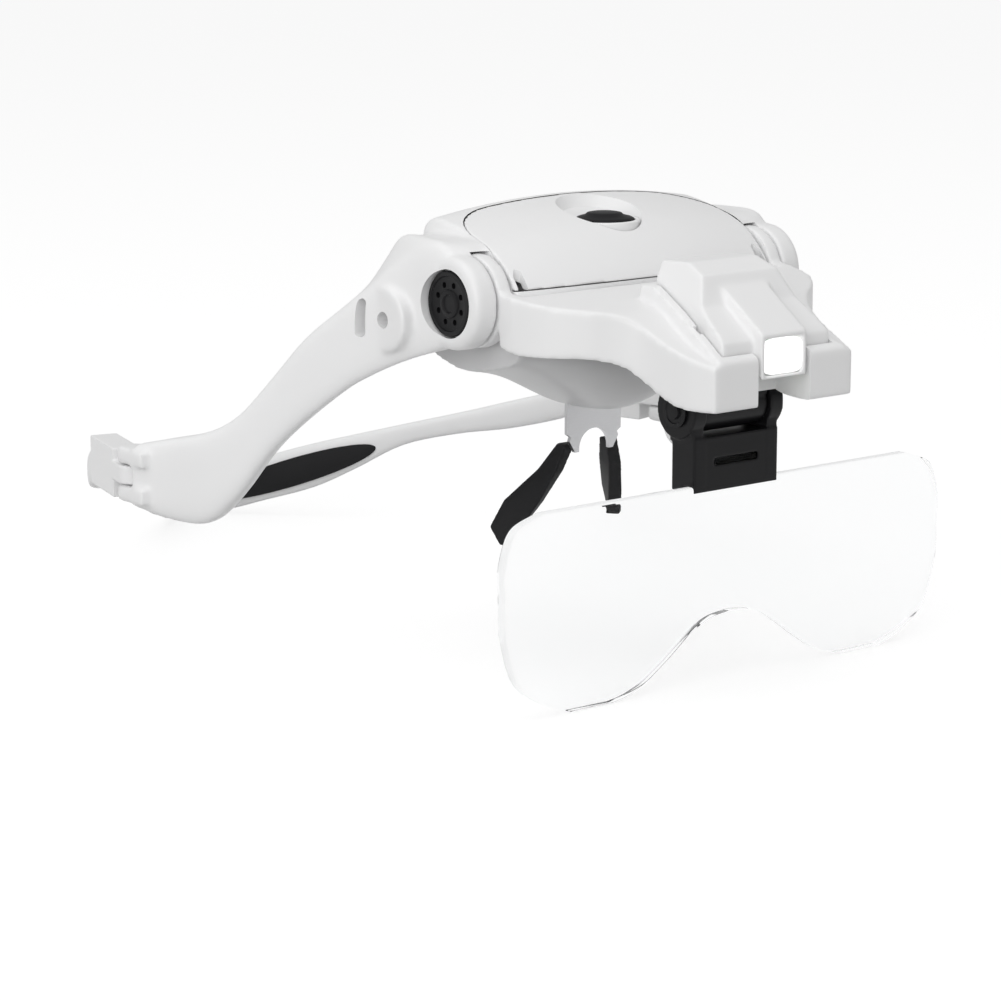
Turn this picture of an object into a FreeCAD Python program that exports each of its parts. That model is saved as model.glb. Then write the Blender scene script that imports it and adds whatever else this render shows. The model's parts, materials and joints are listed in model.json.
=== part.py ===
import FreeCAD, Part
import math
import os

# Head visor magnifier with folding temple arms.
# Modelled about a datum line just ahead of the forehead housing: X runs along it
# to one side, Y goes back over the head, Z goes up, and the centre plane is X = 0.
# STAND then sets every piece on the ground.

V = FreeCAD.Vector
X_AXIS = V(1, 0, 0)
Y_AXIS = V(0, 1, 0)
Z_AXIS = V(0, 0, 1)

SIZES = {
    # standing position of the datum line
    "stand_back": -61.8, "stand_up": 69.5,
    # walls and clearances
    "wall": 2.0, "running_gap": 0.05, "side_gap": 0.4, "part_gap": 0.3, "cover_gap": 0.25,
    # forehead housing
    "housing_half": 30.4, "housing_front": 2.0, "housing_rear": 31.0, "housing_floor": -9.0,
    "housing_top": 13.6, "crown_drop": 2.6, "room_half": 25.0,
    "cover_half": 30.2, "cover_front": 2.0, "cover_rear": 25.6, "cover_corner": 11.0,
    "bulge_half": 30.0, "bulge_rim": -15.0, "keel_drop": 10.6, "keel_spread": 18.5, "bulge_middle": 18.0,
    # pivots
    "pivot_back": 11.8, "pivot_up": -2.0,
    "ring_inner": 30.9, "ring_width": 2.9, "boss_radius": 8.4, "boss_width": 4.8,
    "bush_radius": 3.5, "bush_bore": 1.4, "cap_radius": 5.9, "cap_thick": 2.0,
    "pivot_screw_radius": 1.25, "washer_radius": 5.6, "washer_thick": 0.3,
    # wings and temple hinges
    "wing_thick": 6.0, "hinge_half": 66.0, "hinge_back": 73.7, "hinge_middle": -38.7,
    "knuckle_radius": 3.0, "knuckle_height": 10.5, "knuckle_gap": 0.25, "hinge_pin_radius": 0.9,
    "wing_hole_radius": 1.5, "wing_hole_deep": 4.0, "wing_screw_radius": 1.2,
    "wing_hole_back": 25.3, "wing_hole_up": -6.1, "wing_pad_radius": 5.9, "wing_pad_face": 43.3,
    "wing_slot_long": 7.0, "wing_slot_wide": 1.9,
    # temple sockets, arms and pads
    "socket_long": 15.0, "socket_thick": 5.4, "socket_tall": 9.4, "socket_wall": 1.1,
    "socket_turn": 15.0, "arm_turn": 43.6, "elbow_reach": 26.0, "arm_thick": 2.6,
    "plug_gap": 0.15, "tip_half": 4.0,
    "temple_pad_long": 38.0, "temple_pad_tall": 6.4, "temple_pad_thick": 0.8,
    # bracket
    "bracket_wall": 2.2, "bracket_front": -33.5, "notch_half": 6.2,
    "bracket_rear": 0.9, "pocket_floor": -10.0, "pocket_front": -31.6, "pocket_rear": -7.8,
    "pocket_half_front": 13.1, "pocket_half_rear": 9.7,
    "lug_half": 7.4, "holder_axis_back": -17.0, "holder_axis_up": -20.2,
    # lamp
    "lamp_gap": 0.35, "lamp_shoulder_half": 8.2, "lamp_axis_back": -12.6, "lamp_axis_up": -6.6, "lamp_pin_radius": 1.0,
    "window_half": 4.5, "window_tall": 6.4, "window_middle": -9.4, "window_thick": 1.2,
    # lens holder and lens
    "ear_radius": 5.0, "ear_thick": 3.0, "ear_gap": 0.2, "holder_pin_radius": 1.6,
    "holder_half": 10.0, "holder_face": -21.3, "holder_deep": 6.0, "holder_low": -34.6,
    "lens_half": 52.0, "lens_tall": 35.8, "lens_thick": 2.4, "lens_back": -18.5,
    "lens_corner": 8.6, "lens_lobe": 14.5, "lens_tab_half": 7.2, "lens_tab_tall": 8.2,
    "nose_notch_half": 11.0, "nose_notch_tall": 12.4,
    # nose rest
    "nose_plate_half": 6.5, "nose_plate_thick": 0.8, "nose_plate_back": 18.2,
    "nose_plate_top": -21.5, "nose_plate_low": -33.8, "nose_arch_radius": 3.6,
    "nose_pad_thick": 2.6,
    # button, board and batteries
    "button_radius": 5.4, "button_tall": 2.2, "button_back": 15.3, "button_top": 10.6,
    "button_travel": 1.0, "bezel_radius": 6.6, "dish_radius": 9.4,
    "board_half": 15.0, "board_deep": 11.0, "board_thick": 1.2, "board_low": 2.1,
    "switch_side": 6.0, "switch_tall": 3.4,
    "battery_radius": 5.25, "battery_long": 44.5, "battery_pitch": 11.2, "battery_up": -3.6,
    "tray_wall": 1.2, "contact_thick": 0.4, "spring_long": 0.9,
    # small screws
    "case_screw_radius": 1.25, "case_screw_head": 1.9, "case_screw_half": 27.3,
}

doc = FreeCAD.newDocument("head_visor_magnifier")
sheet = doc.addObject("Spreadsheet::Sheet", "Sizes")
for row, (alias, value) in enumerate(SIZES.items(), start=1):
    sheet.set("A%d" % row, alias)
    sheet.set("B%d" % row, str(value))
    sheet.setAlias("B%d" % row, alias)
doc.recompute()


def size(alias):
    """A driving dimension read back from the sheet."""
    return float(sheet.get(alias))


STAND = V(0, size("stand_back"), size("stand_up"))
PIVOT = V(0, size("pivot_back"), size("pivot_up"))
SIDES = (("left", -1), ("right", 1))
pieces = {}


def name_piece(thing, label, shift=V(0, 0, 0)):
    thing.Label = label
    placement = FreeCAD.Placement(thing.Placement)
    placement.Base = placement.Base + STAND + shift
    thing.Placement = placement
    pieces[label] = thing
    return thing


def solid_piece(label, shape):
    """A piece whose outline is worked out here from the sheet's sizes."""
    thing = doc.addObject("Part::Feature", label + "_solid")
    thing.Shape = shape.removeSplitter()
    return name_piece(thing, label)


def group_piece(label, shapes):
    """One node that holds several separate identical solids."""
    thing = doc.addObject("Part::Feature", label + "_group")
    thing.Shape = Part.makeCompound(shapes)
    return name_piece(thing, label)


# ---------------------------------------------------------------- sketch helpers

def origin_plane(body, role):
    return next(f for f in body.Origin.OriginFeatures if f.Role == role)


def new_body(label):
    return doc.addObject("PartDesign::Body", label + "_body")


def sketch_on(body, plane, name, offset=None):
    sketch = body.newObject("Sketcher::SketchObject", name)
    sketch.AttachmentSupport = [(origin_plane(body, plane), "")]
    sketch.MapMode = "FlatFace"
    if offset:
        sketch.setExpression("AttachmentOffset.Base.z", offset)
    return sketch


def circle_in(sketch, radius, across="0 mm", up="0 mm"):
    """A circle whose radius and centre follow the sheet."""
    index = sketch.addGeometry(Part.Circle(V(1, 1, 0), Z_AXIS, 1), False)
    bind(sketch, "Radius", (index,), 1, radius)
    bind(sketch, "DistanceX", (-1, 1, index, 3), 1, across)
    bind(sketch, "DistanceY", (-1, 1, index, 3), 1, up)


def bind(sketch, kind, where, start, formula):
    import Sketcher
    number = sketch.addConstraint(Sketcher.Constraint(kind, *where, start))
    sketch.setExpression("Constraints[%d]" % number, formula)


def rectangle_in(sketch, left, right, low, high):
    """A rectangle between four distances from the sketch's origin."""
    import Sketcher
    corners = [V(-1, -1, 0), V(1, -1, 0), V(1, 1, 0), V(-1, 1, 0)]
    first = sketch.GeometryCount
    for k in range(4):
        sketch.addGeometry(Part.LineSegment(corners[k], corners[(k + 1) % 4]), False)
    for k in range(4):
        sketch.addConstraint(Sketcher.Constraint("Coincident", first + k, 2, first + (k + 1) % 4, 1))
    for k in (0, 2):
        sketch.addConstraint(Sketcher.Constraint("Horizontal", first + k))
        sketch.addConstraint(Sketcher.Constraint("Vertical", first + k + 1))
    bind(sketch, "DistanceX", (-1, 1, first, 1), -1, left)
    bind(sketch, "DistanceX", (-1, 1, first, 2), 1, right)
    bind(sketch, "DistanceY", (-1, 1, first, 1), -1, low)
    bind(sketch, "DistanceY", (-1, 1, first + 2, 1), 1, high)


def grow(body, kind, sketch, length, back=False):
    """Pad or Pocket a sketch by a length from the sheet."""
    feature = body.newObject("PartDesign::" + kind, kind + "_of_" + sketch.Name)
    feature.Profile = sketch
    feature.setExpression("Length", length)
    feature.Reversed = back
    body.Tip = feature
    return feature


# ---------------------------------------------------------------- solid helpers

def rod(radius, start, end):
    """A round bar between two points."""
    return Part.makeCylinder(radius, (end - start).Length, start, end - start)


def x_rod(radius, x_from, x_to, back=0.0, up=0.0):
    return rod(radius, V(x_from, back, up), V(x_to, back, up))


def pivot_rod(radius, x_from, x_to):
    """A round bar on the bracket's pivot axis."""
    return x_rod(radius, x_from, x_to, PIVOT.y, PIVOT.z)


def block(x_from, x_to, y_from, y_to, z_from, z_to):
    return Part.makeBox(x_to - x_from, y_to - y_from, z_to - z_from, V(x_from, y_from, z_from))


def prism(points, direction):
    return Part.Face(Part.makePolygon(points + points[:1])).extrude(direction)


def mirrored(shape):
    return shape.mirror(V(0, 0, 0), X_AXIS)


def on_side(shape, side):
    return shape if side > 0 else mirrored(shape)


def skinned(rings):
    """A solid through rings of points, flat between neighbouring rings."""
    return Part.makeLoft([Part.makePolygon(ring + ring[:1]) for ring in rings], True, True)


# ---------------------------------------------------------------- forehead housing

def crown_ring(x, inset, floor):
    """The housing's side outline at one distance from the centre plane."""
    drop = size("crown_drop") * (x / size("housing_half")) ** 2
    front = size("housing_front") + inset
    rear = size("housing_rear") - inset
    top = size("housing_top") - drop - inset
    outline = [(front, floor), (front, top - 12.6), (front + 4.0, top - 8.2), (front + 9.0, top - 4.8),
               (front + 15.0, top - 2.2), (front + 21.0, top - 0.4), (rear - 3.0, top),
               (rear, top - 2.0), (rear, floor)]
    return [V(x, y, z) for y, z in outline]


def crown(inset, floor, half):
    steps = (-1.0, -0.66, -0.33, 0.0, 0.33, 0.66, 1.0)
    return skinned([crown_ring(step * half, inset, floor) for step in steps])


def cover_plan(gap):
    """The battery cover's D outline as a tall prism, straight at the front."""
    half = size("cover_half") + gap
    front = size("cover_front") - 5.0
    rear = size("cover_rear") + gap
    corner = size("cover_corner")
    edge = [V(-half, front, -40), V(half, front, -40), V(half, rear - corner, -40),
            V(half - corner * 0.3, rear - corner * 0.3, -40), V(half - corner, rear, -40),
            V(-half + corner, rear, -40), V(-half + corner * 0.3, rear - corner * 0.3, -40),
            V(-half, rear - corner, -40)]
    return prism(edge, V(0, 0, 80))


def cover_room(gap):
    """All the space over the housing's inner skin inside the cover's outline."""
    above = cover_plan(gap).common(block(-60, 60, -20, 60, 0.4 - gap, 40))
    return above.cut(inner_crown())


def inner_crown():
    return crown(size("wall"), -41, size("housing_half") + 2)


# Outer and inner plan points of a wing with the heights of its top and bottom.
WING_STATIONS = (
    ((27.0, 10.0), (27.0, 30.6), 8.6, -9.0),
    ((30.6, 10.0), (30.6, 30.8), 8.6, -9.0),
    ((35.6, 10.2), (34.0, 31.0), 8.6, -10.8),
    ((39.0, 13.0), (35.8, 31.6), 8.7, -11.8),
    ((41.3, 22.0), (37.6, 32.6), 4.5, -14.4),
    ((44.2, 28.5), (40.0, 34.0), -0.6, -17.2),
    ((46.5, 32.7), (42.0, 36.8), -4.2, -19.8),
    ((50.5, 40.0), (45.6, 43.4), -10.7, -26.0),
    ((54.0, 45.5), (49.0, 48.9), -18.2, -32.2),
    ((58.0, 51.0), (52.8, 54.2), -25.8, -41.6),
    ((61.5, 56.5), (55.9, 59.0), -29.1, -46.5),
    ((65.0, 63.5), (59.2, 65.2), -31.0, -46.7),
    ((69.0, 70.2), (63.0, 70.4), -32.4, -44.8),
)


def wing_ring(station):
    (ox, oy), (ix, iy), top, low = station
    edge = min(1.6, (top - low) * 0.12)
    dx, dy = ix - ox, iy - oy
    reach = math.hypot(dx, dy)
    ux, uy = dx / reach * edge, dy / reach * edge
    corner = [(ox, oy, low + edge), (ox, oy, top - edge), (ox + ux, oy + uy, top),
              (ix - ux, iy - uy, top), (ix, iy, top - edge), (ix, iy, low + edge),
              (ix - ux, iy - uy, low), (ox + ux, oy + uy, low)]
    return [V(*point) for point in corner]


def hinge_point(side, up):
    return V(side * size("hinge_half"), size("hinge_back"), up)


def knuckle_spans():
    """Heights of the wing's two knuckles and of the socket's one between them."""
    low = size("hinge_middle") - size("knuckle_height") / 2
    third = size("knuckle_height") / 3
    gap = size("knuckle_gap")
    return (low, low + third - gap), (low + 2 * third + gap, low + 3 * third), (low + third, low + 2 * third)


def wing():
    body = skinned([wing_ring(station) for station in WING_STATIONS])
    lower, upper, middle = knuckle_spans()
    radius = size("knuckle_radius")
    sweep = radius + size("part_gap")
    axis_low = hinge_point(1, -60)
    body = body.cut(rod(sweep, axis_low, hinge_point(1, 0)))
    for low, high in (lower, upper):
        body = body.fuse(rod(radius, hinge_point(1, low), hinge_point(1, high)))
        body = body.fuse(block(hinge_point(1, 0).x - radius, hinge_point(1, 0).x + radius,
                               size("hinge_back") - 6.0, size("hinge_back"), low, high))
    body = body.cut(block(58, 72, size("hinge_back") - sweep, size("hinge_back") + 8,
                          middle[0] - size("knuckle_gap"), middle[1] + size("knuckle_gap")))
    return body.cut(rod(size("hinge_pin_radius"), axis_low, hinge_point(1, 0)))


def wing_features(body):
    """The boss with its cap recess, and the screw pad and strap slot behind it."""
    inner = ring_outer() + size("side_gap")
    body = body.fuse(pivot_rod(size("boss_radius"), inner, boss_face()))
    recess = boss_face() - size("cap_thick") - 0.2
    body = body.cut(pivot_rod(size("cap_radius") + size("part_gap"), recess, boss_face() + 5))
    back, up = size("wing_hole_back"), size("wing_hole_up")
    face = size("wing_pad_face")
    body = body.fuse(x_rod(size("wing_pad_radius"), face - 5.0, face, back, up))
    body = body.cut(x_rod(size("wing_hole_radius"), face - size("wing_hole_deep"), face + 5, back, up))
    body = body.cut(x_rod(size("wing_screw_radius") + size("running_gap"), face - 7.5, face, back, up))
    slot = size("wing_slot_long") / 2
    slot_y = back + size("wing_hole_radius") + 2.2
    body = body.cut(block(face - 2.6, face + 8, slot_y, slot_y + size("wing_slot_wide"), up - slot, up + slot))
    return body


def ring_outer():
    return size("ring_inner") + size("ring_width")


def boss_face():
    return ring_outer() + size("side_gap") + size("boss_width")


def main_frame():
    half = size("housing_half")
    floor = size("housing_floor")
    shell = crown(0, floor, half)
    right = wing_features(wing())
    frame = shell.fuse([right, mirrored(right)])
    room_half = size("room_half")
    room = inner_crown().common(block(-room_half, room_half, -20, 60, floor - 1, 40))
    frame = frame.cut([room, cover_room(size("cover_gap"))])
    for x, y in case_screw_places():
        frame = frame.cut(rod(size("case_screw_radius") + size("running_gap"), V(x, y, floor - 1), V(x, y, -4.0)))
    clear = pivot_rod(size("boss_radius") + size("side_gap"), half, ring_outer() + size("side_gap"))
    bore = pivot_rod(size("bush_radius"), size("ring_inner") - 1.0, boss_face())
    frame = frame.cut([clear, mirrored(clear), bore, mirrored(bore)])
    return solid_piece("main_frame", frame)


def bulge_ring(x, inset):
    """The underside bowl's outline at one distance from the centre plane."""
    top = size("housing_floor")
    keel = size("keel_drop") * math.exp(-(x / size("keel_spread")) ** 2)
    low = size("bulge_rim") - keel + inset
    front = size("housing_front") + inset + 0.4
    rear = size("housing_rear") - inset - 0.4
    middle = size("bulge_middle")
    outline = [(front, top), (rear, top), (rear - 1.5, (top + low) / 2), (rear - 6.0, low + 1.0),
               (middle, low), (front + 6.0, low + 1.2), (front + 1.5, (top + low) / 2)]
    return [V(x, y, z) for y, z in outline]


def bulge(inset, half):
    steps = (-1.0, -0.8, -0.6, -0.4, -0.2, 0.0, 0.2, 0.4, 0.6, 0.8, 1.0)
    return skinned([bulge_ring(step * half, inset) for step in steps])


def housing_bottom():
    bowl = bulge(0, size("bulge_half"))
    room = bulge(size("wall"), size("bulge_half") - size("wall") - 1.5)
    bowl = bowl.cut(room)
    slit_half = size("nose_plate_half")
    thick = size("nose_plate_thick") / 2
    bowl = bowl.cut(block(-slit_half, slit_half, size("nose_plate_back") - thick,
                          size("nose_plate_back") + thick, -40, size("nose_plate_top")))
    for x, y in case_screw_places():
        bowl = bowl.fuse(rod(2.4, V(x, y, size("housing_floor")), V(x, y, size("housing_floor") - 3.0)))
        bowl = bowl.cut(rod(size("case_screw_radius"), V(x, y, -40), V(x, y, 0)))
        bowl = bowl.cut(rod(size("case_screw_head") + 0.2, V(x, y, -40), V(x, y, size("housing_floor") - 1.6)))
    return solid_piece("housing_bottom", bowl)


def case_screw_places():
    half = size("case_screw_half")
    return [(x, y) for x in (-half, half) for y in (size("housing_front") + 7.0, size("housing_rear") - 7.0)]


def battery_cover():
    layer = crown(0, -40, size("housing_half") + 1).common(cover_room(0))
    back = size("button_back")
    dish = Part.makeSphere(26.0, V(0, back, size("button_top") + 24.6))
    layer = layer.fuse(rod(size("dish_radius") + 1.0, V(0, back, size("button_top") - 4.0),
                           V(0, back, size("button_top"))).common(crown(0, -40, 20)))
    layer = layer.cut(dish)
    layer = layer.cut(rod(size("bezel_radius") + size("part_gap"), V(0, back, -5), V(0, back, 30)))
    vent = block(29.6, 31.4, 4.6, 9.6, -5, 20)
    layer = layer.cut([vent, mirrored(vent)])
    return solid_piece("battery_cover", layer)


# ---------------------------------------------------------------- round and square pieces

def round_piece(label, plane, across, up, steps):
    """Concentric pads and bores: (kind, radius, start, length) from the sheet."""
    body = new_body(label)
    for number, (kind, radius, start, length) in enumerate(steps):
        sketch = sketch_on(body, plane, "%s_circle_%d" % (label, number), start)
        circle_in(sketch, radius, across, up)
        grow(body, kind, sketch, length, kind == "Pocket")
    return name_piece(body, label)


def square_piece(label, edges, start, length):
    """A plate drawn on the ground plane between four edges."""
    body = new_body(label)
    sketch = sketch_on(body, "XY_Plane", label + "_outline", start)
    rectangle_in(sketch, *edges)
    grow(body, "Pad", sketch, length)
    return name_piece(body, label)


# ---------------------------------------------------------------- button and electrics

def button_group():
    round_piece("button_bezel", "XY_Plane", "0", "Sizes.button_back", (
        ("Pad", "Sizes.bezel_radius", "Sizes.button_top - 3.0", "2.4"),
        ("Pocket", "Sizes.button_radius + 0.15", "Sizes.button_top - 3.0", "2.4")))
    round_piece("power_button", "XY_Plane", "0", "Sizes.button_back", (
        ("Pad", "Sizes.button_radius", "Sizes.button_top - Sizes.button_tall", "Sizes.button_tall"),
        ("Pad", "Sizes.button_radius * 0.55", "Sizes.button_top", "0.5"),
        ("Pad", "Sizes.switch_side / 3", "Sizes.button_top - Sizes.button_tall - 1.2", "1.2")))
    square_piece("circuit_board", ("-Sizes.board_half", "Sizes.board_half",
                                   "Sizes.button_back - Sizes.board_deep / 2",
                                   "Sizes.button_back + Sizes.board_deep / 2"),
                 "Sizes.board_low", "Sizes.board_thick")
    square_piece("switch_block", ("-Sizes.switch_side / 2", "Sizes.switch_side / 2",
                                  "Sizes.button_back - Sizes.switch_side / 2",
                                  "Sizes.button_back + Sizes.switch_side / 2"),
                 "Sizes.board_low + Sizes.board_thick",
                 "Sizes.button_top - Sizes.button_tall - 1.2 - Sizes.button_travel - 0.1"
                 " - Sizes.board_low - Sizes.board_thick")


def battery_places():
    """Two cells lie side by side across the housing."""
    middle = size("button_back") + 0.9
    half = size("battery_pitch") / 2
    return (middle - half, middle + half)


def batteries():
    places = {"front": "Sizes.button_back + 0.9 - Sizes.battery_pitch / 2",
              "rear": "Sizes.button_back + 0.9 + Sizes.battery_pitch / 2"}
    for name, back in places.items():
        round_piece("battery_" + name, "YZ_Plane", back, "Sizes.battery_up", (
            ("Pad", "Sizes.battery_radius", "-Sizes.battery_long / 2", "Sizes.battery_long - 0.8"),
            ("Pad", "1.9", "Sizes.battery_long / 2 - 0.8", "0.8")))


def tray_end():
    return size("battery_long") / 2 + size("spring_long") + size("contact_thick")


def battery_tray():
    """End walls for the contacts, a rear wall joining them and two ribs under the board."""
    end = tray_end()
    wall = size("tray_wall")
    room = crown(size("wall") + 0.15, size("housing_floor"), size("housing_half"))
    bowl = bulge(size("wall") + 0.15, size("bulge_half"))
    inside = room.fuse(bowl)
    rear = size("housing_rear") - size("wall") - 0.15
    low = size("battery_up") - size("battery_radius") - 3.0
    tray = block(end, end + wall, 3, 40, low, size("board_low") - 1.2).common(inside)
    tray = tray.fuse(mirrored(tray))
    top = size("battery_up") + size("battery_radius") + 0.2
    back_wall = block(-end - wall, end + wall, rear - 1.0, rear, size("housing_floor"), top + 1.0)
    tray = tray.fuse(back_wall)
    for x in (-12.0, 9.5):
        tray = tray.fuse(block(x, x + 2.5, size("button_back") - 4.0, rear, top, size("board_low")))
    return solid_piece("battery_tray", tray)


def contacts():
    end = tray_end()
    thick = size("contact_thick")
    radius = size("battery_radius")
    plates = []
    up = size("battery_up")
    for back in battery_places():
        for x in (-end, end - thick):
            plates.append(block(x, x + thick, back - radius * 0.7, back + radius * 0.7, up - 3.0, up + 3.0))
    group_piece("contact_plates", plates)
    springs = []
    for back in battery_places():
        start = -size("battery_long") / 2 - size("spring_long")
        coil = x_rod(3.0, start + 0.1, start + size("spring_long") - 0.1, back, up)
        springs.append(coil.cut(x_rod(2.2, start - 1, start + 3, back, up)))
    group_piece("contact_springs", springs)


# ---------------------------------------------------------------- pivots

def pivots():
    outer = "Sizes.ring_inner + Sizes.ring_width + Sizes.side_gap + Sizes.boss_width"
    for name, side in SIDES:
        bush_start = "Sizes.ring_inner - 0.6"
        bush_long = "Sizes.ring_width + Sizes.side_gap + Sizes.boss_width - Sizes.cap_thick + 0.2"
        cap_start = outer + " - Sizes.cap_thick"
        screw_start = "Sizes.ring_inner + 0.4"
        screw_long = "Sizes.ring_width + Sizes.side_gap + Sizes.boss_width - Sizes.cap_thick - 0.6"
        if side < 0:
            bush_start = "-(%s) - (%s)" % (bush_start, bush_long)
            cap_start = "-(%s)" % outer
            screw_start = "-(%s) - (%s)" % (screw_start, screw_long)
        round_piece(name + "_pivot_bush", "YZ_Plane", "Sizes.pivot_back", "Sizes.pivot_up", (
            ("Pad", "Sizes.bush_radius - Sizes.running_gap", bush_start, bush_long),
            ("Pocket", "Sizes.bush_bore", bush_start, bush_long)))
        cap(name, side, cap_start)
        round_piece(name + "_pivot_screw", "YZ_Plane", "Sizes.pivot_back", "Sizes.pivot_up", (
            ("Pad", "Sizes.pivot_screw_radius", screw_start, screw_long),))
    rings = []
    for _name, side in SIDES:
        start = ring_outer() + (size("side_gap") - size("washer_thick")) / 2
        ring = pivot_rod(size("washer_radius"), start, start + size("washer_thick"))
        ring = ring.cut(pivot_rod(size("bush_radius") + 0.1, start - 1, start + 1))
        rings.append(on_side(ring, side))
    group_piece("pivot_washers", rings)


def cap(name, side, start):
    """A round cap with a ring groove and eight small pockets round its hub."""
    label = name + "_pivot_cap"
    body = new_body(label)
    disc = sketch_on(body, "YZ_Plane", label + "_disc", start)
    circle_in(disc, "Sizes.cap_radius")
    grow(body, "Pad", disc, "Sizes.cap_thick")
    face = start + " + Sizes.cap_thick" if side > 0 else start
    pocket = sketch_on(body, "YZ_Plane", label + "_pocket", face)
    circle_in(pocket, "0.62", "Sizes.cap_radius * 0.64", "0")
    dent = grow(body, "Pocket", pocket, "0.7", side < 0)
    doc.recompute()
    ring = body.newObject("PartDesign::PolarPattern", label + "_pocket_ring")
    ring.Originals = [dent]
    ring.Axis = (origin_plane(body, "X_Axis"), [""])
    ring.Angle = 360
    ring.Occurrences = 8
    body.Tip = ring
    groove = sketch_on(body, "YZ_Plane", label + "_groove", face)
    circle_in(groove, "Sizes.cap_radius * 0.42")
    circle_in(groove, "Sizes.cap_radius * 0.34")
    grow(body, "Pocket", groove, "0.4", side < 0)
    return name_piece(body, label, PIVOT)


# ---------------------------------------------------------------- front bracket

def bracket_plan(inset):
    """Half outline from the ring, down the flared arm, to the front boss."""
    front = size("bracket_front") + inset
    rear = size("bracket_rear") - inset
    half = [(33.6 - inset, rear), (33.4 - inset, -1.5), (31.5 - inset, -6.5 + inset * 0.3),
            (27.0 - inset, -11.7 + inset * 0.8), (22.5 - inset, -15.0 + inset),
            (19.8 - inset, -18.0 + inset), (18.7 - inset, -24.0), (18.0 - inset, -28.0),
            (16.0 - inset, front)]
    outline = half + [(-x, y) for x, y in reversed(half)]
    return prism([V(x, y, -40) for x, y in outline], V(0, 0, 80))


def bracket_profile(lower):
    """Side outline of the bracket, its top lowered by one wall for the hollow."""
    top = [(6.0, 0.4), (-0.5, -0.4), (-11.7, -1.6), (-15.3, -2.2), (-18.5, -4.2), (-23.0, -6.6),
           (-29.0, -8.8), (-34.0, -9.8)]
    low = [(-34.0, -18.0), (-29.4, -17.9), (-24.6, -17.4), (-19.2, -14.2), (-15.5, -11.3),
           (-11.7, -10.0), (0.5, -10.1), (6.0, -8.0)]
    if lower:
        low = [(y, -30.0) for y, _z in low]
    outline = [(y, z - lower) for y, z in top] + low
    return prism([V(-60, y, z) for y, z in outline], V(120, 0, 0))


def pocket_profile():
    """Side outline of the walls either side of the lamp."""
    outline = [(-8.4, 1.4), (-12.0, 1.6), (-20.0, -2.2), (-31.2, -8.4), (-33.0, -9.0), (-33.0, -17.0),
               (-24.6, -15.0), (-8.4, -12.0)]
    return prism([V(-60, y, z) for y, z in outline], V(120, 0, 0))


def pocket_prism(gap, low, high):
    """The lamp's place in the bracket, or the lamp's own base when gap is negative."""
    rear_half = size("pocket_half_rear") + gap
    front_half = size("pocket_half_front") + gap
    rear = size("pocket_rear")
    front = size("pocket_front") - gap
    outline = [(-rear_half, rear), (rear_half, rear), (front_half, front), (-front_half, front)]
    return prism([V(x, y, low) for x, y in outline], V(0, 0, high - low))


def front_bracket():
    wall = size("bracket_wall")
    shell = bracket_plan(0).common(bracket_profile(0))
    hollow = bracket_plan(wall).common(bracket_profile(wall))
    hollow = hollow.common(block(-60, 60, -24.0, size("bracket_rear"), -40, 40))
    shell = shell.cut(hollow)
    floor = size("pocket_floor")
    axis_y, axis_z = size("holder_axis_back"), size("holder_axis_up")
    tray = pocket_prism(wall, floor - wall, floor).common(block(-60, 60, -33.0, -8.0, -40, 40))
    sides = pocket_prism(wall, floor - wall, 20).cut(pocket_prism(0, floor, 21))
    sides = sides.common(pocket_profile())
    shell = shell.fuse([tray, sides])
    lug_half = size("lug_half")
    lug = block(-lug_half, lug_half, axis_y - 3.4, axis_y + 3.4, axis_z, floor - wall + 0.5)
    lug = lug.fuse(x_rod(3.4, -lug_half, lug_half, axis_y, axis_z))
    shell = shell.fuse(lug)
    shell = shell.cut(pocket_prism(0, floor, 40))
    notch = size("notch_half")
    shell = shell.cut(block(-notch, notch, -40, -24.0, -40, floor + 0.1))
    shell = shell.cut(block(-notch, notch, -40, size("pocket_front") + 1.0, -40, 40))
    tab = block(size("ring_inner"), ring_outer(), -1.5, 6.0, -40, 40).common(bracket_profile(0))
    ring = pivot_rod(size("boss_radius"), size("ring_inner"), ring_outer()).fuse(tab)
    shell = shell.fuse([ring, mirrored(ring)])
    shell = shell.cut(pivot_rod(size("bush_radius"), -50, 50))
    shell = shell.cut(x_rod(size("holder_pin_radius"), -50, 50, axis_y, axis_z).common(
        block(-lug_half - 1, lug_half + 1, -60, 20, -60, 20)))
    pin_y, pin_z = size("lamp_axis_back"), size("lamp_axis_up")
    reach = lamp_pin_reach()
    shell = shell.cut(x_rod(size("lamp_pin_radius"), -reach, reach, pin_y, pin_z))
    return solid_piece("front_bracket", shell)


def lamp_pin_reach():
    return size("pocket_half_rear") + 2.6


# ---------------------------------------------------------------- lamp

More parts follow.
